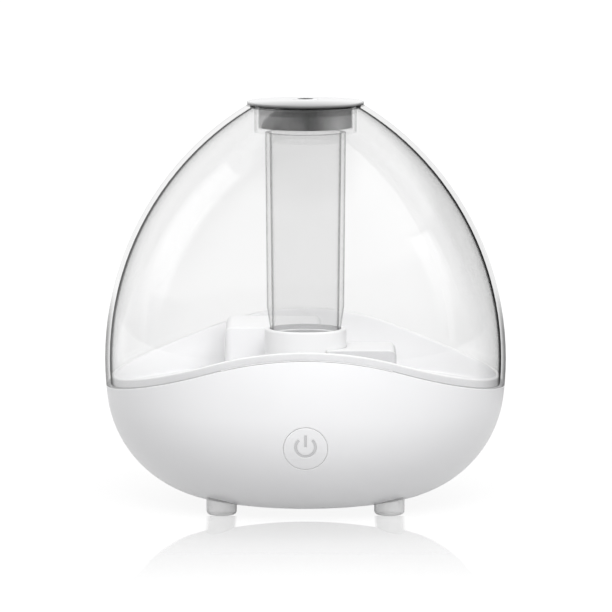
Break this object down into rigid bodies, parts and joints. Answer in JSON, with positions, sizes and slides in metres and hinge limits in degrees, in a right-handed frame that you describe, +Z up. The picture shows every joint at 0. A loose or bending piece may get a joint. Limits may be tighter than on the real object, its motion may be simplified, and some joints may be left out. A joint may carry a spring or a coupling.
{
  "type": "cool mist humidifier",
  "caption": "Tabletop ultrasonic cool mist humidifier: a clear lift-off dome with a mist tube and nozzle over a white water basin base with a front power button.",
  "frame": {"origin": "on the table, under the body's axis", "axes": "+Z up through the mist nozzle, front with the power button towards -Y, +X to the right of someone facing the front"},
  "size_m": [0.2, 0.2, 0.2023],
  "materials": {
    "clear_plastic": "gloss",
    "white_plastic": "satin",
    "grey_rubber": "matte",
    "black_rubber": "matte",
    "icon_grey": "matte",
    "steel": "satin",
    "black_plastic": "matte",
    "copper": "satin",
    "lamp": "gloss",
    "aluminium": "satin",
    "green_board": "satin",
    "foam": "matte",
    "black_wire": "satin",
    "red_wire": "satin",
    "grey_wire": "satin",
    "foot_rubber": "matte"
  },
  "bodies": {
    "base": {"base_shell": "white_plastic", "basin": "white_plastic", "air_chimney": "white_plastic", "float_post": "white_plastic", "mist_collar": "white_plastic", "air_cover": "white_plastic", "float_cover": "white_plastic", "float_clip": "steel", "float_sensor": "black_plastic", "transducer_disc": "steel", "transducer_seal": "black_rubber", "transducer_clamp": "steel", "clamp_screws": "steel", "fan_housing": "black_plastic", "fan_stator": "copper", "fan_gasket": "black_rubber", "fan_screws": "steel", "tact_switch": "black_plastic", "switch_board": "green_board", "indicator_led": "lamp", "main_board": "green_board", "board_parts": "black_plastic", "heat_sink": "aluminium", "board_screws": "steel", "dc_jack": "black_plastic", "jack_pin": "steel", "jack_nut": "steel", "intake_grille": "white_plastic", "filter_foam": "foam", "base_screws": "steel", "fan_leads": "black_wire", "transducer_leads": "red_wire", "switch_leads": "grey_wire", "jack_leads": "red_wire", "sensor_leads": "black_wire", "foot_front_left": "foot_rubber", "foot_front_right": "foot_rubber", "foot_rear_left": "foot_rubber", "foot_rear_right": "foot_rubber"},
    "dome": {"clear_dome": "clear_plastic", "nozzle_cup": "clear_plastic", "mist_tube": "clear_plastic"},
    "nozzle": {"nozzle_cap": "white_plastic", "nozzle_skirt": "grey_rubber", "nozzle_baffle": "white_plastic"},
    "button": {"power_button": "white_plastic", "button_icon": "icon_grey", "switch_plunger": "black_plastic"},
    "float_unit": {"float": "white_plastic", "float_magnet": "steel"},
    "fan_wheel": {"fan_rotor": "black_plastic", "rotor_magnet": "steel"}
  },
  "joints": [
    {"name": "dome_lift", "type": "slide", "parent": "base", "child": "dome", "axis": [0, 0, 1], "range_m": [0, 0.08]},
    {"name": "nozzle_lift", "type": "slide", "parent": "dome", "child": "nozzle", "axis": [0, 0, 1], "range_m": [0, 0.03]},
    {"name": "button_press", "type": "slide", "parent": "base", "child": "button", "axis": [0, 1, 0], "range_m": [0, 0.001], "stiffness_N_per_m": 1600},
    {"name": "float_rise", "type": "slide", "parent": "base", "child": "float_unit", "axis": [0, 0, 1], "range_m": [0, 0.012]},
    {"name": "fan_spin", "type": "hinge", "parent": "base", "child": "fan_wheel", "pos_m": [-0.014, 0.04, 0.026], "axis": [0, 0, 1], "continuous": true}
  ]
}
